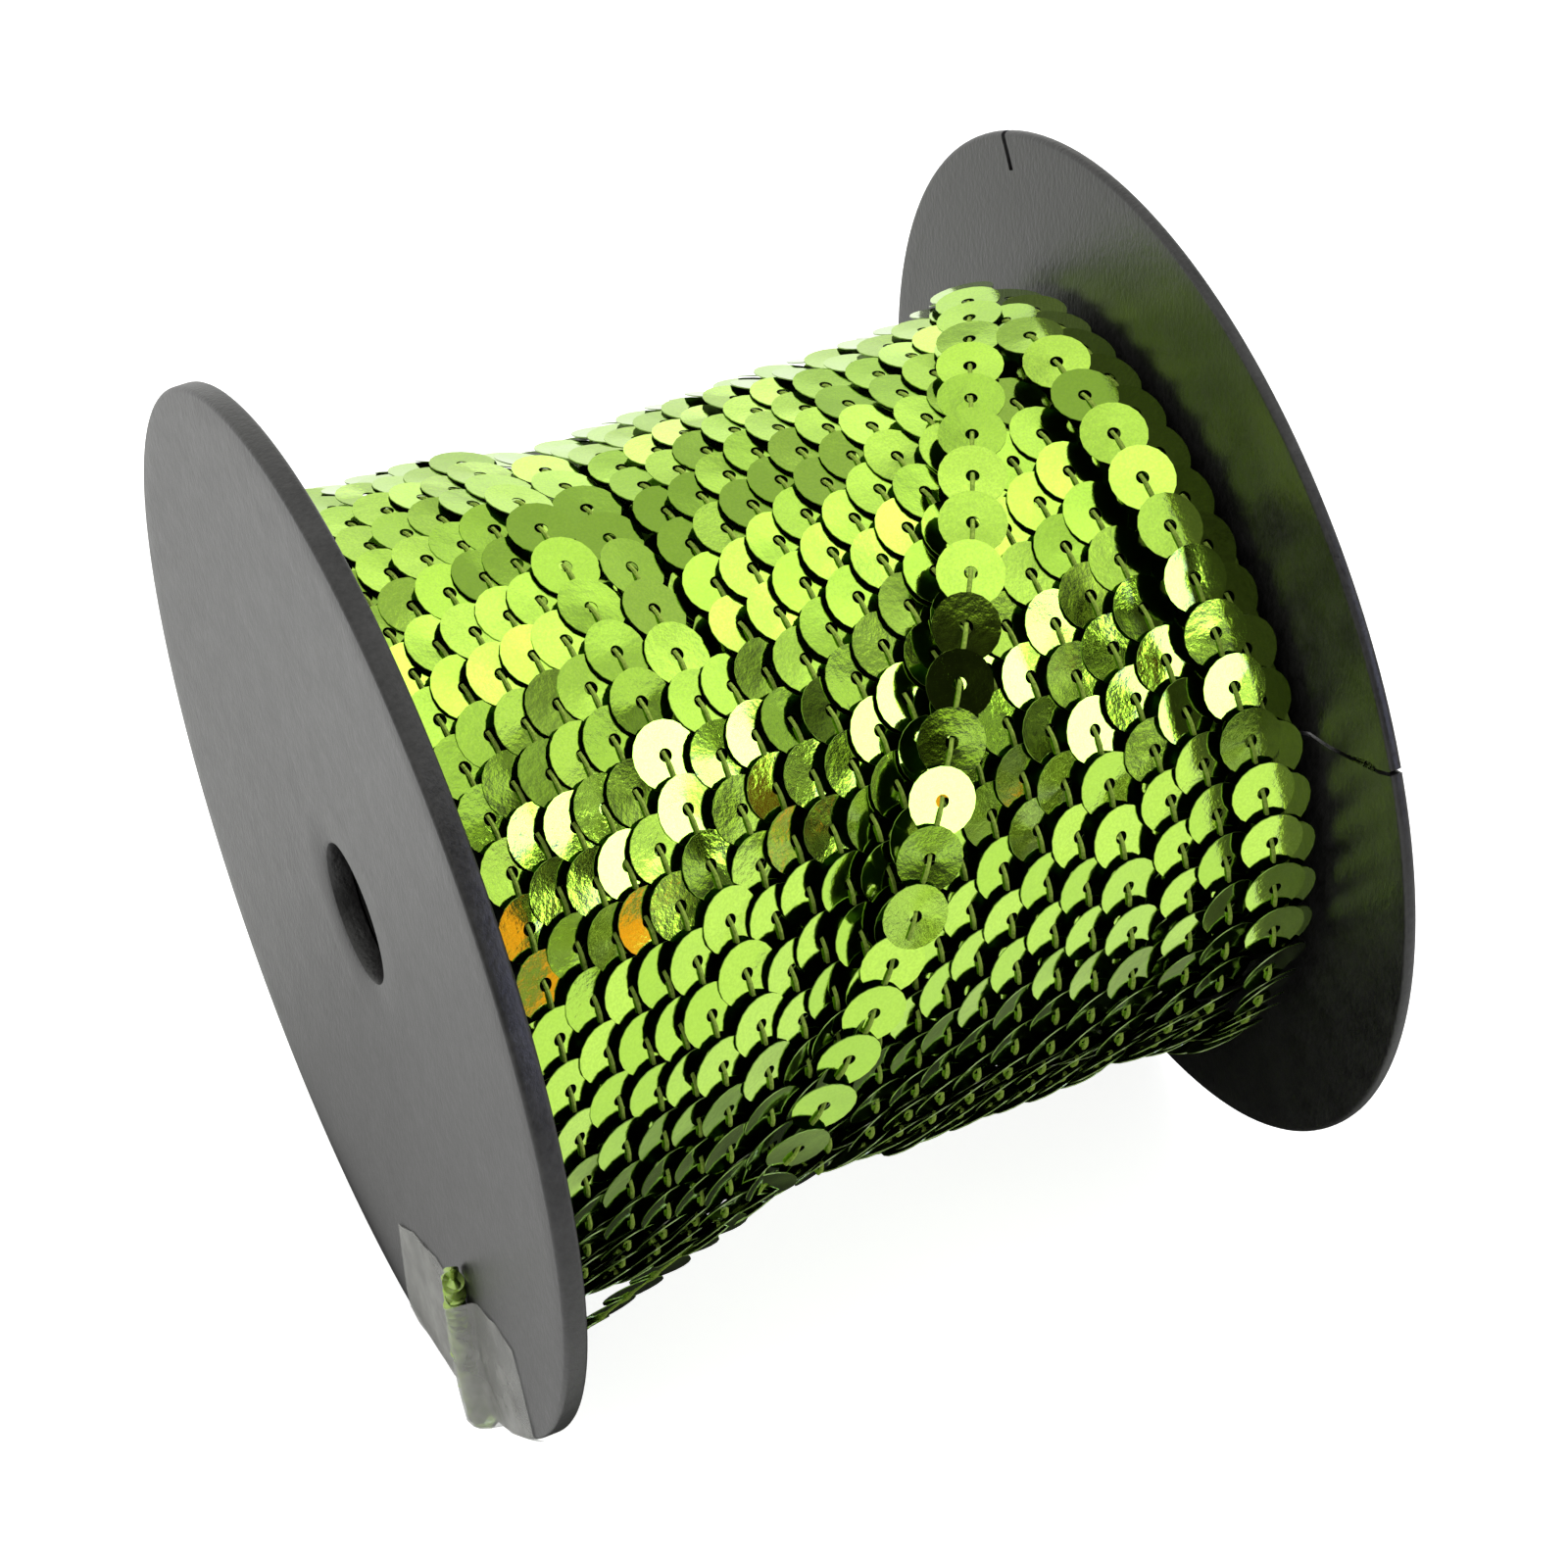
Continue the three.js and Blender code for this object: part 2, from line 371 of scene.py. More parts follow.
def add_world():
    """A white studio. What faces the sequins from the front is darker and patchy."""
    world = bpy.data.worlds.new("studio")
    world.use_nodes = True
    bpy.context.scene.world = world
    sky = Nodes(world.node_tree)
    for node in list(world.node_tree.nodes):
        world.node_tree.nodes.remove(node)
    way = sky.coordinates("Generated")

    def near(azimuth, elevation, inner, outer):
        """1 within an angle of a direction, 0 beyond a wider one."""
        inputs = {0: way, 1: direction(azimuth, elevation)}
        along = sky.node("ShaderNodeVectorMath", {"operation": "DOT_PRODUCT"}, inputs, "Value")
        return along.between(math.cos(math.radians(outer)), math.cos(math.radians(inner)))

    open_light = sky.ramp(
        sky.noise(way, 3.2, 1.0),
        (0.36, (0.50, 0.52, 0.50)),
        (0.46, (0.90, 0.92, 0.88)),
        (0.58, (1.15, 1.15, 1.10)),
        (0.68, (1.6, 1.55, 1.45)),
    )
    bright = sky.level(near(*BRIGHT_SIDE) * 0.35 + 1)
    open_light = sky.mix(1.0, open_light, bright, "MULTIPLY")

    room = sky.ramp(
        sky.noise(sky.scaled(way, (1.0, 1.0, 1.5)), 4.6, 1.0),
        (0.40, (0.012, 0.012, 0.012)),
        (0.48, (0.05, 0.05, 0.05)),
        (0.53, (0.16, 0.17, 0.16)),
        (0.58, (0.42, 0.44, 0.41)),
        (0.62, (0.95, 0.97, 0.9)),
    )
    room = sky.mix(near(*PERSON) * 0.85, room, grey(0.008))
    room = sky.mix(near(*ORANGE_THING), room, (1.7, 0.46, 0.10, 1.0))
    room = sky.mix(near(*BROWN_THING), room, (0.20, 0.07, 0.03, 1.0))
    shine = near(*LAMP)
    for azimuth, elevation, size in PANES:
        shine = shine.joined(near(azimuth, elevation, size, size + PANE_EDGE))
    glass = sky.scaled(sky.level(sky.ray("Glossy") * 2.8 + 1.5), PANE_TINT)
    room = sky.mix(shine, room, glass)

    front = (sky.part(way, "Y") * -1).between(0.10, 0.34)
    low = front * (1 - sky.part(way, "Z").between(0.62, 0.74))
    mirrored = sky.mix(low.joined(near(*HIGH_ROOM)), open_light, room)
    color = sky.mix(sky.ray("Camera"), mirrored, grey(1.0))
    backdrop = sky.node("ShaderNodeBackground", None, {"Color": color, "Strength": 1.0})
    sky.node("ShaderNodeOutputWorld", None, {"Surface": backdrop})


def add_softbox(name, location, aim, size, energy):
    light = bpy.data.lights.new(name, "AREA")
    light.shape = "RECTANGLE"
    light.size, light.size_y = size
    light.energy = energy
    lamp = new_object(name, light)
    lamp.location = location
    lamp.visible_glossy = False
    lamp.rotation_euler = (Vector(aim) - Vector(location)).to_track_quat("-Z", "Y").to_euler()


# Meshes


def entered(piece, replaces):
    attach(piece, "root")
    for node in replaces:
        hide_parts(node)
    return piece


def finished(name, mesh, finish, replaces=(), sharp=35):
    piece = new_object(name, mesh)
    mesh.materials.append(finish.material)
    mesh.shade_smooth()
    mesh.set_sharp_from_angle(angle=math.radians(sharp))
    return entered(piece, replaces)


def to_mesh(bm, name):
    bmesh.ops.scale(bm, vec=(MM, MM, MM), verts=bm.verts[:])
    mesh = bpy.data.meshes.new(name)
    bm.to_mesh(mesh)
    bm.free()
    return mesh


def turned(outline):
    """A bmesh of a closed outline of (radius, from_near) corners, spun about the axis."""
    bm = bmesh.new()
    corners = [bm.verts.new((NEAR_FACE + x, 0, AXIS_HEIGHT + radius)) for radius, x in outline]
    edges = [bm.edges.new(pair) for pair in zip(corners, corners[1:] + corners[:1])]
    bmesh.ops.spin(
        bm, geom=corners + edges, cent=(0, 0, AXIS_HEIGHT), axis=(1, 0, 0), dvec=(0, 0, 0),
        angle=math.tau, steps=ROUND_STEPS, use_merge=True,
    )
    bmesh.ops.remove_doubles(bm, verts=bm.verts[:], dist=0.001)
    bmesh.ops.recalc_face_normals(bm, faces=bm.faces[:])
    return bm


def rim_corner(radius, x, start):
    """Quarter-round corner points about (radius, x), from an angle in degrees."""
    steps = range(RIM_ROUND_STEPS + 1)
    angles = [math.radians(start + 90 * step / RIM_ROUND_STEPS) for step in steps]
    return [(radius + RIM_ROUND * math.cos(a), x + RIM_ROUND * math.sin(a)) for a in angles]


def polar(spot):
    """A place's distance from the axis and its angle above the level, in radians."""
    height, front = spot.z - AXIS_HEIGHT, -spot.y
    return math.hypot(height, front), math.atan2(height, front)


def cut_slit(bm, degrees, inner, width, wave):
    """Cuts a slit from a radius out to the rim, between two neighbouring columns of corners."""
    step = 360 / ROUND_STEPS
    first = math.floor(degrees / step)
    columns = ([], [])
    for vert in bm.verts:
        radius, angle = polar(vert.co)
        index = round(math.degrees(angle) % 360 / step) - first
        if index in (0, 1) and radius > inner - 0.01:
            columns[index].append(vert)
            shift = (index - 0.5) * width + wave * math.sin(1.3 * radius)
            moved_to = math.radians(degrees) + shift / radius
            vert.co.y = -radius * math.cos(moved_to)
            vert.co.z = AXIS_HEIGHT + radius * math.sin(moved_to)
    both = set(columns[0] + columns[1])
    gone = [face for face in bm.faces if all(vert in both for vert in face.verts)]
    bmesh.ops.delete(bm, geom=gone, context="FACES")
    ends = []
    for column in columns:
        column.sort(key=lambda vert: polar(vert.co)[0])
        closing = bm.edges.new(column[:2])
        open_edges = [edge for edge in bm.edges if edge.is_boundary]
        wall = [edge for edge in open_edges if all(vert in column for vert in edge.verts)]
        bmesh.ops.contextual_create(bm, geom=wall + [closing])
        ends += column[:2]
    bmesh.ops.contextual_create(bm, geom=ends)
    bmesh.ops.recalc_face_normals(bm, faces=bm.faces[:])


def flange_outline(thick):
    hub_out = DISH_DEPTH
    hub_in = thick + DISH_DEPTH
    outline = [(BORE_RADIUS + BORE_LIP, hub_out), (HUB_RADIUS - HUB_EDGE, hub_out)]
    outline += [(radius, float(dish(radius))) for radius in (HUB_RADIUS + HUB_EDGE, *SLIT_RADII)]
    outline += [(FLANGE_RADIUS - RIM_BAND, 0.0)]
    outline += rim_corner(FLANGE_RADIUS - RIM_ROUND, RIM_ROUND, -90)
    outline += rim_corner(FLANGE_RADIUS - RIM_ROUND, thick - RIM_ROUND, 0)
    outline += [(FLANGE_RADIUS - RIM_BAND, thick)]
    outline += [(radius, thick + float(dish(radius))) for radius in reversed(SLIT_RADII)]
    outline += [(HUB_RADIUS, hub_in), (BORE_RADIUS, hub_in), (BORE_RADIUS, hub_out + BORE_LIP)]
    outline += [(BORE_RADIUS + BORE_CHAMFER, hub_out + BORE_CHAMFER)]
    return outline


def flange(name, finish, node, far=False):
    outline = flange_outline(FAR_THICKNESS if far else FLANGE_THICKNESS)
    if far:
        outline = [(radius, SPOOL_WIDTH - x) for radius, x in reversed(outline)]
    bm = turned(outline)
    for slit in SLITS if far else ():
        cut_slit(bm, *slit)
    for vert in bm.verts:
        vert.co.z = max(vert.co.z, 0.0)
    finished(name, to_mesh(bm, name), finish, [node])


def core(finish):
    end = FLANGE_THICKNESS + DISH_DEPTH + CORE_GAP
    far_end = SPOOL_WIDTH - end
    inner, outer = CORE_INNER_RADIUS, CORE_OUTER_RADIUS
    bm = turned([(inner, end), (outer, end), (outer, far_end), (inner, far_end)])
    finished("spool_tube", to_mesh(bm, "spool_tube"), finish, ["spool_core"])


def wound_body(finish):
    """The inside of the winding just under its sequins, painted dark as the shade deep in the
    winding.
    """
    first = FLANGE_THICKNESS + BODY_RIM_GAP
    stations = np.linspace(first, SPOOL_WIDTH - first, BODY_STATIONS)
    plain = np.interp(stations, WOUND_FROM_NEAR, WOUND_RADIUS) - BODY_DEPTH
    inner = CORE_OUTER_RADIUS + BODY_CORE_GAP
    low_end = FLANGE_THICKNESS + DISH_DEPTH + BODY_HUB_GAP
    outline = [(inner, low_end), *zip(plain.tolist(), stations.tolist())]
    outline += [(inner, SPOOL_WIDTH - low_end)]
    bm = turned(outline)
    for vert in bm.verts:
        radius, angle = polar(vert.co)
        if radius > inner + 1:
            down = FACING - math.degrees(angle)
            grown = 1 + SAG * math.cos(math.radians(down - SAG_DOWN)) / radius
            vert.co.z = AXIS_HEIGHT + (vert.co.z - AXIS_HEIGHT) * grown
            vert.co.y *= grown
    finished("wound_body", to_mesh(bm, "wound_body"), finish)


# The sequins: where each one lies

# Each sequin rests on the bed, this far under the winding's radius, and on those within reach
BED_DEPTH = 1.0
REACH = 2 * SEQUIN_RADIUS + 0.4
CLEARANCE = SEQUIN_THICKNESS + 0.08
UNDER_THREAD = 0.1
# The slopes that are tried, along the row and across it, and what a lean off the natural costs
SLOPES = np.array([
    (along, across)
    for along in np.linspace(-0.34, 0.3, 13)
    for across in np.linspace(-0.48, 0.3, 14)
])
SLOPE_COST = 5.0
LAST_TURN_COST = 60.0
# A sequin's natural slopes and, by place, what adds to the one across the row: millimetres
# from the near face, and the angles in degrees
LEAN = (-0.05, -0.20)
LEAN_SPREAD = 0.045
STRAND_LEAN_SPREAD = 0.02
MORE_LEAN = (
    ((0.0, 7.5), (-181.0, 181.0), -0.16),
    ((70.0, 73.5), (OVER_TOP, 120.0), 0.2),
    ((73.5, SPOOL_WIDTH), (-55.0, -5.0), -0.2),
)
MID_WINDING = 40.0
# Afterwards the layers are evened out to these heights, and the highest sequins are lowered
LEVEL_REACH = 9.0
MM_PER_DEGREE = 0.62
TOP_LEVEL = 0.1
UNDER_LEVEL = -1.8
SETTLE_FROM = 1.3
SETTLE_MOST = 0.8


def disc_samples():
    rings = ((0.0, 1), (0.8, 6), (1.6, 12), (2.4, 18), (SEQUIN_RADIUS, 24))
    spots = []
    for radius, count in rings:
        for step in range(count):
            angle = math.tau * step / count
            spots.append((radius * math.cos(angle), radius * math.sin(angle)))
    return np.array(spots)


SAMPLES = disc_samples()
THREAD_SAMPLES = np.array([(u, v) for u in (0.4, 0.9, 1.4, 1.9, 2.4) for v in (-0.2, 0.2)])


def bent(shape, u, v):
    return shape[0] * u * u + shape[1] * v * v + shape[2] * u * v


def bed_under(from_near, down, slant):
    """Places on the bed under a sequin, in the sequin's own directions."""
    u, v = SAMPLES.T
    onward = u * math.cos(slant) - v * math.sin(slant)
    aside = u * math.sin(slant) + v * math.cos(slant)
    radius = wound_radius(from_near, down)
    there = wound_radius(from_near + aside, down + np.degrees(onward / radius))
    return u, v, there - radius - onward**2 / (2 * radius)


class Heap:
    """The sequins laid so far. A new one rests on those under it."""

    def __init__(self):
        self.centres = np.empty((0, 3))
        self.samples = np.empty((0, len(SAMPLES) + len(THREAD_SAMPLES), 3))

    def lay(self, from_near, down, slant, lean, shape, cost=SLOPE_COST):
        out = outward(down)
        onward = np.array((0.0, -out[2], out[1]))
        along = onward * math.cos(slant) + np.array((1.0, 0.0, 0.0)) * math.sin(slant)
        across = np.cross(out, along)
        origin = place(from_near, wound_radius(from_near, down) - BED_DEPTH, down)
        u, v, z = bed_under(from_near, down, slant)
        near = np.linalg.norm(self.centres - origin, axis=1) < REACH
        if near.any():
            local = (self.samples[near].reshape(-1, 3) - origin) @ np.stack([along, across, out]).T
            over = np.hypot(local[:, 0], local[:, 1]) < SEQUIN_RADIUS
            u = np.concatenate([u, local[over, 0]])
            v = np.concatenate([v, local[over, 1]])
            on_thread = (np.abs(local[over, 1]) < 0.4) & (local[over, 0] < 0.6)
            z = np.concatenate([z, local[over, 2] + CLEARANCE + UNDER_THREAD * on_thread])
        rest = z - bent(shape, u, v)
        heights = (rest[None] - SLOPES[:, :1] * u - SLOPES[:, 1:] * v).max(axis=1)
        best = int(np.argmin(heights + cost * ((SLOPES - lean) ** 2).sum(axis=1)))
        side = along + SLOPES[best][0] * out
        side /= np.linalg.norm(side)
        normal = np.cross(side, across + SLOPES[best][1] * out)
        normal /= np.linalg.norm(normal)
        pose = (origin + heights[best] * out, side, np.cross(normal, side), normal, shape)
        self.add(pose)
        return pose

    def add(self, pose):
        centre, side, across, normal, shape = pose
        u, v = np.concatenate([SAMPLES, THREAD_SAMPLES]).T
        rise = np.repeat((0.0, THREAD_HEIGHT), (len(SAMPLES), len(THREAD_SAMPLES)))
        z = bent(shape, u, v) + rise
        points = centre + u[:, None] * side + v[:, None] * across + z[:, None] * normal
        self.centres = np.vstack([self.centres, centre])
        self.samples = np.concatenate([self.samples, points[None]])


def random_shape():
    return np.array(CUP) + rng.normal(0, CUP_SPREAD, 3)


def winding_route():
    """Angle on from the first row's facing line against millimetres from the near face."""
    turns, across = [], []
    for index, (*sides, _) in enumerate(ROWS):
        turns += [360 * index + angle for angle in ROW_ANGLES]
        across += list(np.clip(sides, *ROW_LIMITS))
    return turns, across


def winding_holes():
    """Each row's holes, evenly spaced from one row's known hole to the next one's.

    The last row ends a little before the last turn begins.
    """
    turns, across = winding_route()
    anchors = [FIRST_TURN] + [360 * index + row[3] for index, row in enumerate(ROWS)]
    anchors += [360 * len(ROWS) + LAST_TURN_DOWN[0] - 4]
    holes = []
    for start, end in zip(anchors, anchors[1:]):
        middle = np.interp((start + end) / 2, turns, across)
        radius = float(np.interp(middle, WOUND_FROM_NEAR, WOUND_RADIUS))
        count = max(1, round(math.radians(end - start) * radius / PITCH))
        holes += [start + (end - start) * step / count for step in range(count)]
    return [(turn, float(np.interp(turn, turns, across))) for turn in holes]


def laying_order(hole):
    """The turn at which a sequin is laid."""
    turn, _ = hole
    row = round(turn / 360)
    first, last, later = LAID_LATER.get(row, (0, 0, 0))
    return turn + later if first < turn - 360 * row < last else turn


def slant_of(turns, across, turn, radius):
    step = 2.0
    run = np.interp(turn + step, turns, across) - np.interp(turn - step, turns, across)
    return math.atan2(float(run), math.radians(2 * step) * radius)


def lean_at(from_near=MID_WINDING, down=0.0):
    """A sequin's natural slopes at a place; in the middle, where none is given."""
    lean = np.array(LEAN) + rng.normal(0, LEAN_SPREAD, 2)
    facing = (down + 180) % 360 - 180
    for (low, high), (first, last), more in MORE_LEAN:
        if low < from_near < high and first < facing < last:
            lean[1] += more
    return lean


def lay_under():
    """The layer under the rows; what lies beyond the near flange is not shown."""
    heap = Heap()
    poses = []
    for turn in np.linspace(*UNDER_TURNS, UNDER_SEQUINS):
        from_near = float(np.interp(turn, UNDER_TURNS, UNDER_FROM_NEAR))
        slant = slant_of(UNDER_TURNS, UNDER_FROM_NEAR, turn, UNDER_RADIUS)
        pose = heap.lay(from_near, turn + UNDER_AHEAD, slant, lean_at(), random_shape())
        if from_near > UNDER_FIRST:
            poses.append(pose)
    return poses


def lay_before(heap):
    """Turns beyond the near flange, so that the first row lies as the others do; not shown."""
    for turn in np.arange(BEFORE_TURN, FIRST_TURN, math.degrees(PITCH / WOUND_RADIUS[0])):
        from_near = ROW_LIMITS[0] + ROW_SPACING * (turn + 60) / 360
        heap.lay(from_near, turn, BEFORE_SLANT, lean_at(), random_shape())


def lay_rows(heap):
    lay_before(heap)
    turns, across = winding_route()
    poses = []
    spare_laid = False
    for turn, from_near in sorted(winding_holes(), key=laying_order):
        if turn > SPARE_ROW_TURN and not spare_laid:
            spare = (SPARE_ROW_DOWN, SPARE_ROW_FROM_NEAR, SPARE_ROW_HOLE, SPARE_ROW_LEAN)
            poses += lay_strand(heap, *spare)
            spare_laid = True
        slant = slant_of(turns, across, turn, ROW_RADIUS)
        poses.append(heap.lay(from_near, turn, slant, lean_at(from_near, turn), random_shape()))
    return poses


def lay_strand(heap, downs, from_nears, hole, lean, cost=SLOPE_COST):
    """A strand laid at its pitch along a route, with one hole at a given angle."""
    fine = np.linspace(downs[0], downs[-1], 400)
    across = np.interp(fine, downs, from_nears)
    steps = np.hypot(np.diff(across), np.radians(np.diff(fine)) * STRAND_RADIUS)
    run = np.concatenate([[0], np.cumsum(steps)])
    first = np.interp(hole, fine, run) % PITCH
    poses = []
    for distance in np.arange(first, run[-1], PITCH):
        down = float(np.interp(distance, run, fine))
        from_near = float(np.interp(distance, run, across))
        slant = slant_of(fine, across, down, STRAND_RADIUS)
        slopes = np.array(lean) + rng.normal(0, STRAND_LEAN_SPREAD, 2)
        poses.append(heap.lay(from_near, down, slant, slopes, random_shape(), cost))
    return poses


def spots_of(poses):
    """Each sequin's millimetres from the near face, its angle, and its height on the winding."""
    x, y, z = np.array([pose[0] for pose in poses]).T
    from_near, up = x - NEAR_FACE, z - AXIS_HEIGHT
    down = FACING - np.degrees(np.arctan2(up, -y))
    height = np.hypot(y, up) - wound_radius(from_near, down)
    return from_near, down, height


def levelled(poses, guide, level):
    """Moves sequins in or out by what brings the guide's evened height to a level."""
    guide_x, guide_down, guide_height = spots_of(guide)
    moved = []
    for pose, from_near, down in zip(poses, *spots_of(poses)[:2]):
        around = (down - guide_down + 180) % 360 - 180
        gap = np.hypot(from_near - guide_x, MM_PER_DEGREE * around)
        weight = np.exp(-((gap / LEVEL_REACH) ** 2))
        shift = level - (weight @ guide_height) / weight.sum()
        moved.append((pose[0] + shift * outward(down), *pose[1:]))
    return moved


def settled(poses):
    """Lowers the sequins that stand highest over the winding."""
    moved = []
    for pose, down, height in zip(poses, *spots_of(poses)[1:]):
        drop = float(np.clip(height - SETTLE_FROM, 0, SETTLE_MOST))
        moved.append((pose[0] - drop * outward(down), *pose[1:]))
    return moved


# The loose end, drawn over the near rim

# Sequins hang on the thread, then from this share of its length on they are bunched small
HANG_PITCH = 4.2
BUNCH_PITCH = 0.4
BUNCH_RADIUS = 1.0
BUNCHED_FROM = 0.56
BUNCHED_OVER = 0.1
TIP_LENGTH = 2.2
TO_CAMERA = np.array((-0.29, -0.61, 0.74))
# Its way: angle, millimetres from the near face and height where it leaves the winding; then
# millimetres from the face, radius and angle over the rim; then radius and angle on the face
TAIL_LEAVES = ((65.5, 24.4, 1.0), (71.9, 23.0, 0.7))
TAIL_OVER_RIM = ((3.4, 50.2, 112.5), (1.1, 50.0, 109.0), (-0.8, 48.8, 105.5))
TAIL_ON_FACE = ((46.0, 104.2), (41.0, 102.8), (36.5, 99.5), (33.0, 95.5))


def through(points, steps):
    """A centripetal Catmull-Rom curve through points, as evenly spaced places."""
    points = np.array(points)
    ends = [2 * points[0] - points[1]], [2 * points[-1] - points[-2]]
    knots = np.concatenate([ends[0], points, ends[1]])
    times = np.concatenate([[0], np.cumsum(np.linalg.norm(np.diff(knots, axis=0), axis=1) ** 0.5)])
    fine = []
    for index in range(1, len(knots) - 2):
        span = slice(index - 1, index + 3)
        t, p = times[span], knots[span]
        now = np.linspace(t[1], t[2], steps, endpoint=False)[:, None]

        def between(low, high, first, second):
            return ((t[high] - now) * first + (now - t[low]) * second) / (t[high] - t[low])

        pairs = [between(i, i + 1, p[i], p[i + 1]) for i in range(3)]
        middles = [between(i, i + 2, pairs[i], pairs[i + 1]) for i in range(2)]
        fine.append(between(1, 2, *middles))
    return np.concatenate([*fine, points[-1:]])


def tail_route():
    """Off the winding, straight through the air, over the rim and along the near face."""
    start, lift = (
        place(from_near, wound_radius(from_near, down) + rise, down)
        for down, from_near, rise in TAIL_LEAVES
    )
    edge, *rim = (place(*spot) for spot in TAIL_OVER_RIM)
    air = [lift + (edge - lift) * share for share in (0.35, 0.7)]
    off_face = BUNCH_RADIUS + 0.05
    face = [place(dish(radius) - off_face, radius, down) for radius, down in TAIL_ON_FACE]
    return through([start, lift, *air, edge, *rim, *face], 24)


def tail_poses(route):
    """Spread on the thread in the air, then small and stacked like coins from the rim on."""
    steps = np.linalg.norm(np.diff(route, axis=0), axis=1)
    run = np.concatenate([[0], np.cumsum(steps)])

    def at(distance):
        return np.array([np.interp(distance, run, route[:, axis]) for axis in range(3)])

    hang, bunch = [], []
    distance = 0.6
    while distance < run[-1] - 0.2:
        share = distance / run[-1]
        bunched = float(np.clip((share - BUNCHED_FROM) / BUNCHED_OVER, 0, 1))
        tip = float(np.clip((distance - run[-1] + TIP_LENGTH) / 2.0, 0, 1))
        travel = at(distance + 0.3) - at(distance - 0.3)
        travel /= np.linalg.norm(travel)
        spot = at(distance)
        radial = np.array((0.0, spot[1], spot[2] - AXIS_HEIGHT))
        radial /= np.linalg.norm(radial)
        across = np.cross(radial + TO_CAMERA * (0.10 + 0.42 * share), travel)
        across /= np.linalg.norm(across)
        out = np.cross(travel, across)
        # Each is tipped along the thread and rolled about it, more so where they are bunched.
        pitching = -0.10 - 1.1 * bunched + 0.9 * tip + rng.normal(0, 0.04 + 0.06 * bunched)
        side = travel * math.cos(pitching) + out * math.sin(pitching)
        rolling = rng.normal(0, 0.07 + 0.05 * bunched)
        across = across * math.cos(rolling) + np.cross(side, across) * math.sin(rolling)
        normal = np.cross(side, across)
        bend = np.array((-0.012, -0.06 * bunched, 0.0)) + rng.normal(0, 0.006 + 0.04 * bunched, 3)
        size = 1 - (1 - BUNCH_RADIUS / SEQUIN_RADIUS) * bunched - 0.08 * tip
        size *= 1 + rng.normal(0, 0.07) * bunched
        pose = (spot, side * size, across * size, normal, bend)
        (bunch if bunched > 0.3 else hang).append(pose)
        distance += HANG_PITCH + (BUNCH_PITCH - HANG_PITCH) * bunched
    return hang, bunch


def tail_thread(route, finish):
    curve = bpy.data.curves.new("tail_thread", "CURVE")
    curve.dimensions = "3D"
    line = curve.splines.new("POLY")
    line.points.add(len(route) - 1)
    for point, spot in zip(line.points, route):
        point.co = (*(spot * MM), 1)
    curve.bevel_depth = THREAD_RADIUS * MM
    curve.bevel_resolution = 2
    curve.use_fill_caps = True
    curve.materials.append(finish.material)
    return entered(new_object("tail_thread", curve), ["trim_tail"])


# The tape: its inner edge, as radii at angles below the level through the axis; and the angle
# of the bunched end under it
TAPE_ANGLES = (29.5, 35.0, 42.0, 52.0, 62.0, 73.0, 80.0)
TAPE_INNER = (41.0, 38.1, 36.4, 36.5, 34.6, 35.5, 37.8)
TAPE_REACH = 49.5
TAPE_THICKNESS = 0.05
TAPE_CLEARANCE = 0.12
END_SLANT = 0.62
BUNCH_RADII = (33.0, 36.5, 41.0, 46.0)
BUNCH_ANGLES = (44.8, 48.8, 52.1, 53.5)
HUMP_HEIGHT = 2.0
HUMP_FLAT = 0.7
HUMP_SLOPE = 1.8
RIPPLE_HEIGHT = 0.04
CREASE_HEIGHT = 0.10


def tape(finish):
    """Clear film on the near flange's face, humped over the loose end and past the rim."""
    bm = bmesh.new()
    bmesh.ops.create_grid(bm, x_segments=110, y_segments=40, size=0.5)
    seeds = rng.uniform(0, 10, 3)
    for vert in bm.verts:
        below = TAPE_ANGLES[0] + (TAPE_ANGLES[-1] - TAPE_ANGLES[0]) * (vert.co.x + 0.5)
        inner = float(np.interp(below, TAPE_ANGLES, TAPE_INNER))
        radius = inner + (TAPE_REACH - inner) * (vert.co.y + 0.5)
        below += END_SLANT * (radius - inner) * (0.5 - vert.co.x) ** 4
        bunch = float(np.interp(radius, BUNCH_RADII, BUNCH_ANGLES))
        aside = radius * abs(math.radians(below - bunch))
        off = np.clip((aside - HUMP_FLAT) / HUMP_SLOPE, 0, 1)
        hump = 1 - off**2 * (3 - 2 * off)
        ripple = math.sin(below * 0.7 + seeds[0] + 0.12 * radius)
        ripple *= math.sin(radius * 0.45 + seeds[1])
        crease = abs(math.sin((below - bunch) * 0.3 + radius * 0.16 + seeds[2])) ** 8
        lift = TAPE_CLEARANCE + HUMP_HEIGHT * hump
        lift += RIPPLE_HEIGHT * ripple + CREASE_HEIGHT * crease
        over_rim = max(0.0, radius - (FLANGE_RADIUS - 0.3))
        out = min(radius, FLANGE_RADIUS + 0.35)
        vert.co = place(float(dish(radius)) - lift + over_rim * 1.2, out, FACING + below)
    bmesh.ops.recalc_face_normals(bm, faces=bm.faces[:])
    bmesh.ops.solidify(bm, geom=bm.faces[:], thickness=TAPE_THICKNESS)
    finished("tape_film", to_mesh(bm, "tape_film"), finish, ["tape"], 60)


# The sequins: their meshes


def arrays_of(bm):
    verts = np.array([vert.co[:] for vert in bm.verts])
    faces = [[vert.index for vert in face.verts] for face in bm.faces]
    bm.free()
    return verts, faces


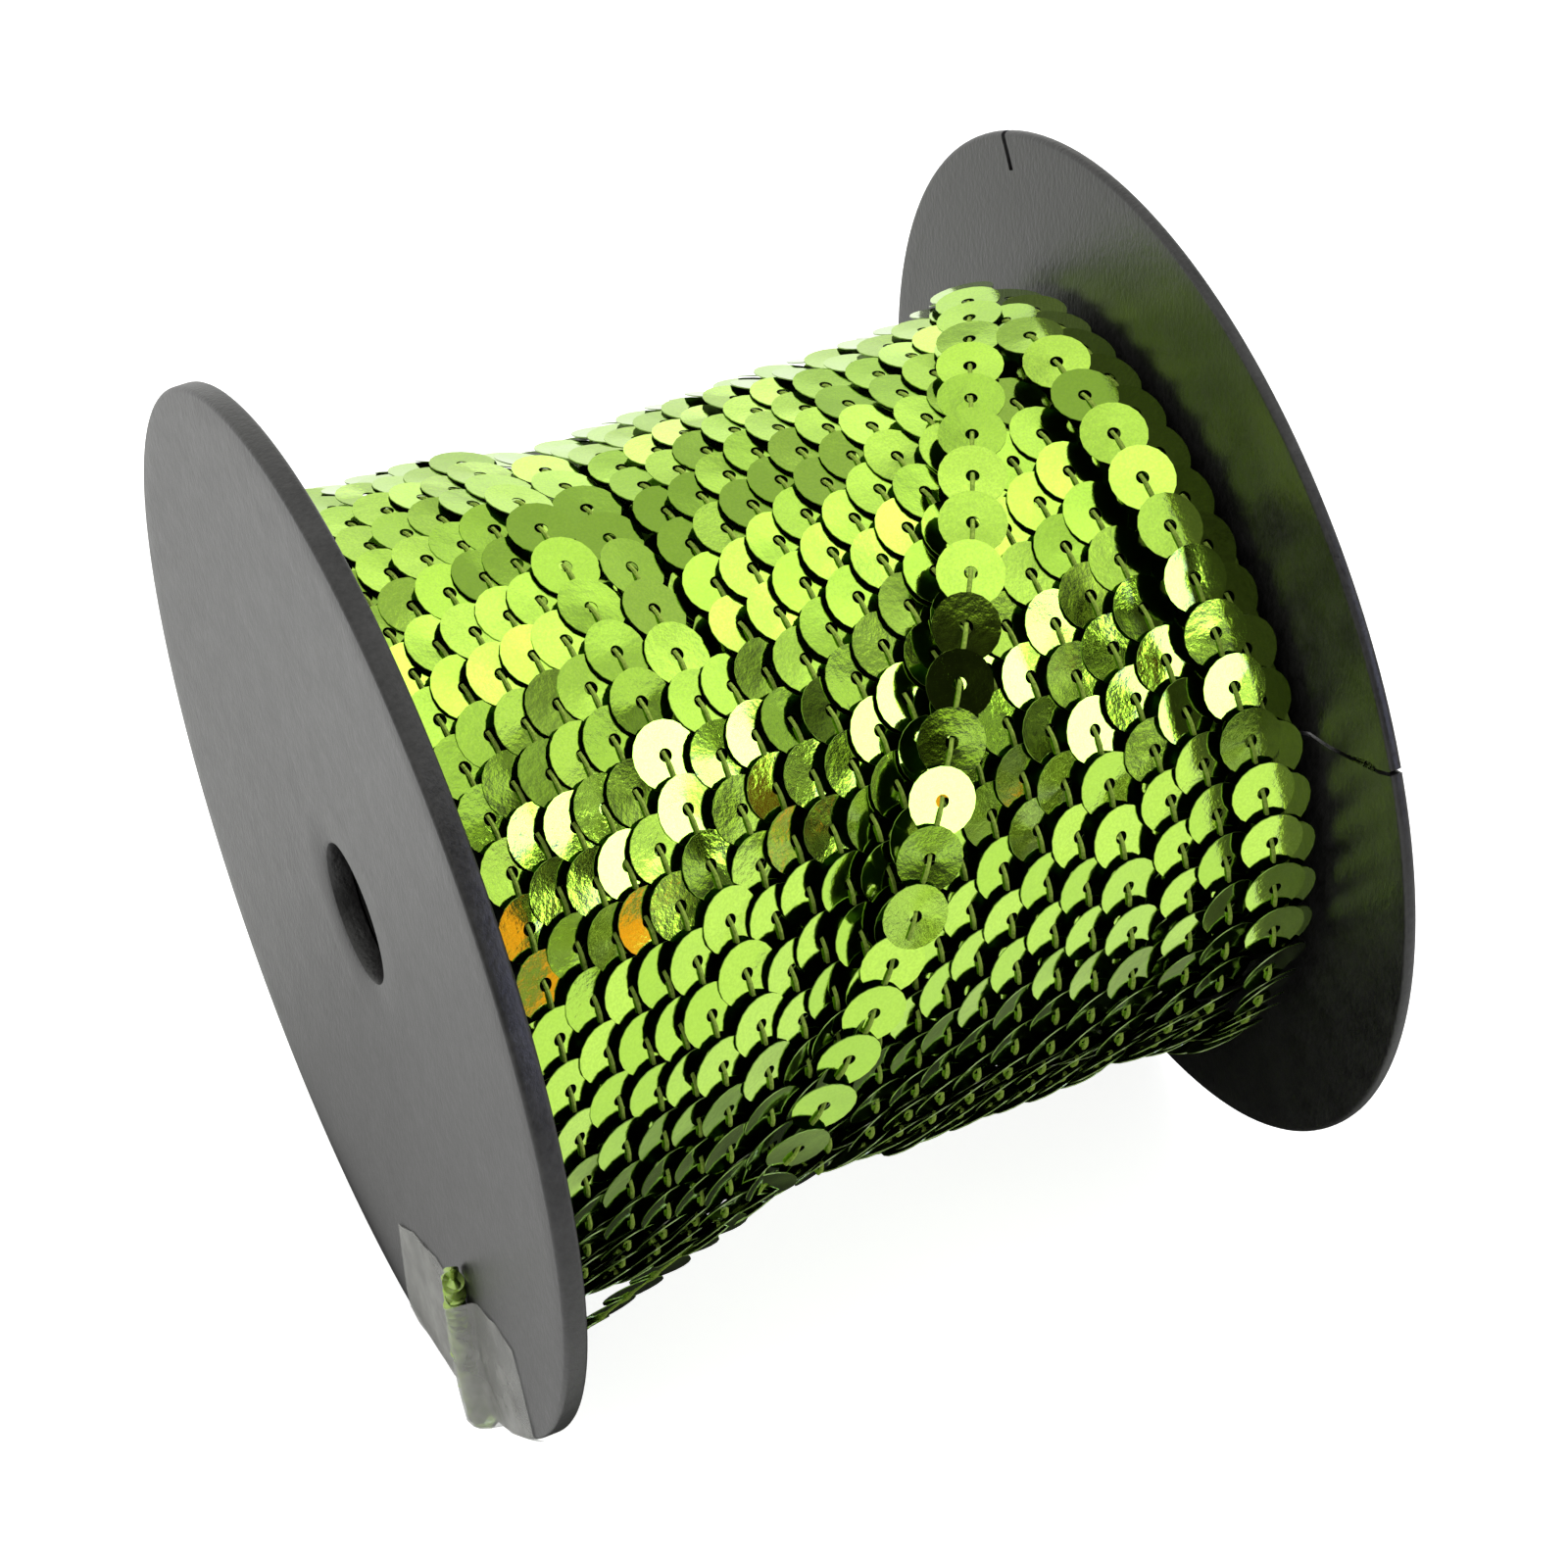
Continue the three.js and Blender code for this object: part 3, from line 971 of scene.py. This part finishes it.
def sequin_shape(segments):
    """A disc with its hole, and for each face whether it is of the front, back or rim."""
    bm = bmesh.new()
    bmesh.ops.create_circle(bm, segments=segments, radius=SEQUIN_RADIUS)
    bmesh.ops.create_circle(bm, segments=segments, radius=HOLE_RADIUS)
    bmesh.ops.bridge_loops(bm, edges=bm.edges[:])
    bmesh.ops.solidify(bm, geom=bm.faces[:], thickness=SEQUIN_THICKNESS)
    bmesh.ops.recalc_face_normals(bm, faces=bm.faces[:])
    bm.verts.index_update()
    kinds = []
    for face in bm.faces:
        outer = abs(face.normal.z) < 0.5 and face.calc_center_median().length > HOLE_RADIUS + 1
        kinds.append("rim" if outer else "front" if face.normal.z > 0.5 else "back")
    verts, faces = arrays_of(bm)
    verts[:, 2] -= verts[:, 2].mean()
    return verts, faces, kinds


def stitch_shape():
    """The thread out of a hole and down over the sequin to the next one's edge."""
    bm = bmesh.new()
    ring = bmesh.ops.create_circle(bm, segments=6, radius=THREAD_RADIUS)["verts"]
    bmesh.ops.rotate(bm, verts=ring, cent=(0, 0, 0), matrix=Matrix.Rotation(math.pi / 2, 3, "Y"))
    bmesh.ops.translate(bm, verts=ring, vec=(STITCH_ALONG[0], 0, 0))
    edges = bm.edges[:]
    bmesh.ops.contextual_create(bm, geom=edges)
    for _ in range(round((STITCH_ALONG[-1] - STITCH_ALONG[0]) / STITCH_STEP)):
        grown = bmesh.ops.extrude_edge_only(bm, edges=edges)["geom"]
        ring = [item for item in grown if isinstance(item, bmesh.types.BMVert)]
        edges = [item for item in grown if isinstance(item, bmesh.types.BMEdge)]
        bmesh.ops.translate(bm, verts=ring, vec=(STITCH_STEP, 0, 0))
    bmesh.ops.contextual_create(bm, geom=edges)
    bmesh.ops.recalc_face_normals(bm, faces=bm.faces[:])
    for vert in bm.verts:
        vert.co.z += float(np.interp(vert.co.x, STITCH_ALONG, STITCH_HEIGHT))
    bm.verts.index_update()
    return *arrays_of(bm), []


def tiled(name, shape, poses, finish, replaces=()):
    """One mesh of a shape set down at every pose, with a tone of its own for each."""
    verts, faces, kinds = shape
    u, v, z = verts.T
    points, corners, tones = [], [], []
    for index, (centre, side, across, normal, bend) in enumerate(poses):
        lifted = z + bent(bend, u, v)
        points.append(centre + np.outer(u, side) + np.outer(v, across) + np.outer(lifted, normal))
        start = index * len(verts)
        corners += [[start + corner for corner in face] for face in faces]
        tones += [rng.random()] * len(verts)
    mesh = bpy.data.meshes.new(name)
    mesh.from_pydata((np.concatenate(points) * MM).tolist(), [], corners)
    tone = mesh.attributes.new("tone", "FLOAT", "POINT")
    tone.data.foreach_set("value", tones)
    for kind in set(kinds) - {"front"}:
        mark = mesh.attributes.new(kind, "FLOAT", "FACE")
        mark.data.foreach_set("value", [float(face == kind) for face in kinds] * len(poses))
    return finished(name, mesh, finish, replaces)


# Finishes


def flange_plastic():
    plastic = Finish("flange_plastic", Metallic=0.0, IOR=1.5)
    spot = plastic.coordinates()
    grain = plastic.noise(plastic.scaled(spot, (1.0, 1.0, 0.45)), 2200.0, 3.0, 0.6)
    mottle = plastic.noise(spot, 260.0, 4.0, 0.6)
    shade = plastic.ramp(
        grain * 0.55 + mottle * 0.45,
        (0.34, (0.006, 0.0055, 0.006)),
        (0.66, (0.028, 0.027, 0.0275)),
    )
    plastic.drive(Base_Color=shade, Roughness=0.24 + grain * 0.14 + mottle * 0.12)
    plastic.bump(grain * 0.7 + mottle * 0.5, 0.9, 0.0001)
    return plastic


def core_plastic():
    plastic = Finish("core_plastic", Metallic=0.0)
    mottle = plastic.noise(plastic.coordinates(), 300.0, 3.0)
    shade = plastic.ramp(mottle, *grey_stops((0.3, 0.006), (0.7, 0.014)))
    plastic.drive(Base_Color=shade, Roughness=0.5 + mottle * 0.1)
    return plastic


def sequin_foil(name, crushed):
    """Coated foil, green in front and painted dark at its back as shade between the sequins;
    crushed is 1 for the bunched end.
    """
    foil = Finish(name, Metallic=1.0, Coat_Roughness=0.05, Coat_IOR=1.75)
    spot = foil.coordinates()
    tone, back, rim = (foil.attribute(mark) for mark in ("tone", "back", "rim"))
    grain = foil.noise(spot, 4200.0, 2.0, 0.6)
    cloud = foil.noise(spot, 900.0, 3.0, 0.6)
    green = foil.ramp(
        tone * 0.7 + cloud * 0.3,
        (0.2, (0.44, 0.76, 0.035)),
        (0.8, (0.56, 0.90, 0.055)),
    )
    worn = foil.mix(crushed, green, (0.34, 0.46, 0.10, 1.0))
    front = foil.mix(grain.between(0.35, 0.65) * 0.4, worn, (0.32, 0.62, 0.01, 1.0))
    shown = foil.mix(rim, front, (0.34, 0.50, 0.14, 1.0))
    # The back of each sequin is painted near black: painted shade for the gaps between overlapping
    # sequins.
    foil.drive(
        Base_Color=foil.mix(back, shown, (0.03, 0.06, 0.006, 1.0)),
        Roughness=0.05 + 0.35 * crushed + cloud * 0.07 + back * 0.25 + rim * 0.4,
        Coat_Weight=(0.75 + tone * 0.2) * (1 - back),
    )
    foil.bump(grain * 0.15 + cloud, 0.55, 0.00003)
    return foil


def green_thread():
    thread = Finish("green_thread", Metallic=0.0, Specular_IOR_Level=0.15)
    fibre = thread.noise(thread.coordinates(), 3800.0, 2.0, 0.7)
    shade = thread.ramp(fibre, (0.3, (0.16, 0.26, 0.03)), (0.7, (0.36, 0.50, 0.08)))
    thread.drive(Base_Color=shade, Roughness=0.75 + fibre * 0.15)
    thread.bump(fibre, 0.6, 0.0001)
    return thread


def clear_film():
    """Hazy film, clearer where it lies higher."""
    film = Finish("clear_film", Metallic=0.0, IOR=1.45)
    spot = film.coordinates()
    haze = film.noise(spot, 240.0, 3.0, 0.6)
    streak = film.noise(film.scaled(spot, (1.0, 1.0, 0.25)), 700.0, 2.0)
    height = film.part(spot, "Z").between(0.004, 0.026)
    film.drive(
        Base_Color=film.ramp(haze, (0.3, (0.62, 0.62, 0.60)), (0.7, (0.80, 0.80, 0.77))),
        Alpha=0.38 + haze.between(0.35, 0.75) * 0.10 - height * 0.18,
        Roughness=0.22 + streak * 0.2,
    )
    film.bump(haze + streak * 0.4, 0.25, 0.0002)
    return film


def painted_shade_green():
    # Near-black green for the winding's inside: painted shade, where the sequins deep in the
    # winding lie in shadow.
    dark = Finish("inner_painted_shade", Metallic=0.0)
    blotch = dark.noise(dark.coordinates(), 500.0, 2.0)
    dark.drive(
        Base_Color=dark.ramp(blotch, (0.35, (0.002, 0.005, 0.001)), (0.65, (0.012, 0.03, 0.004))),
        Roughness=0.5 + blotch * 0.2,
    )
    return dark


def floor_white():
    """A pale sheet; for what the sequins mirror, a dark patchy room lies beyond its front edge."""
    white = Finish("floor_white", Roughness=0.9, Specular_IOR_Level=0.0, Emission_Strength=0.86)
    seen, mirrored = white.ray("Camera"), white.ray("Glossy")
    spot = white.coordinates()
    x, y = white.part(spot, "X"), white.part(spot, "Y")
    paper = white.ramp(white.noise(spot, 8.0, 2.0), *grey_stops((0.0, 0.58), (1.0, 0.60)))
    clutter = white.noise(spot, 9.0, 1.0)
    things = white.ramp(clutter, *grey_stops((0.45, 0.02), (0.52, 0.2), (0.56, 0.9)))
    beyond = (x * 1.2 - y).between(0.50, 0.56) * mirrored
    # Close under the spool the sheet is painted near black for all but camera rays: a painted
    # shadow that the sequins and flanges mirror.
    apart = (y * -1).between(0.036, 0.068) + y.between(0.0, 0.05)
    shade = white.mix(apart, grey(0.07), grey(0.85))
    around = white.mix(beyond, shade, things)
    # Beside the near flange the sheet glows for mirrored rays: painted light that brightens the
    # near flange's face.
    beside = (x * -1).between(0.038, 0.042) * mirrored
    glow = white.mix(beside, white.mix(seen, grey(0.0), grey(1.0)), grey(0.55))
    white.drive(Base_Color=white.mix(seen + beside, around, paper), Emission_Color=glow)
    return white


def add_floor(finish):
    bm = bmesh.new()
    bmesh.ops.create_grid(bm, x_segments=2, y_segments=2, size=3.0)
    mesh = bpy.data.meshes.new("floor")
    bm.to_mesh(mesh)
    bm.free()
    mesh.materials.append(finish.material)
    new_object("floor", mesh)


add_camera()
bpy.context.scene.view_settings.view_transform = "Standard"
add_world()
add_softbox("key", (0.5, 0.1, 1.0), (0, 0, 0.05), (0.7, 0.7), 6)

plastic = flange_plastic()
foil = sequin_foil("sequin_foil", 0.0)
crushed_foil = sequin_foil("crushed_foil", 1.0)
thread = green_thread()
add_floor(floor_white())
flange("flange_near", plastic, "near_flange")
flange("flange_far", plastic, "far_flange", far=True)
core(core_plastic())
wound_body(painted_shade_green())

heap = Heap()
top = lay_rows(heap)
last_turn = (LAST_TURN_DOWN, LAST_TURN_FROM_NEAR, LAST_TURN_HOLE, LAST_TURN_LEAN)
last = lay_strand(heap, *last_turn, LAST_TURN_COST)
under = lay_under()
under = levelled(under, under, UNDER_LEVEL)
last = settled(levelled(last, top, TOP_LEVEL))
top = levelled(top, top, TOP_LEVEL)
tiled("under_sequins", sequin_shape(14), under, foil)
tiled("wound_sequins", sequin_shape(20), top, foil, ["wound_trim"])
tiled("last_turn_sequins", sequin_shape(20), last, foil)
tiled("wound_stitches", stitch_shape(), top + last, thread)

route = tail_route()
hanging, bunched = tail_poses(route)
strand = tail_thread(route, thread)
tail_pieces = [
    tiled("tail_sequins", sequin_shape(20), hanging, foil),
    tiled("bunched_sequins", sequin_shape(20), bunched, crushed_foil),
    tiled("tail_stitches", stitch_shape(), hanging, thread),
]
(route[0] * MM).tolist()
tape(clear_film())
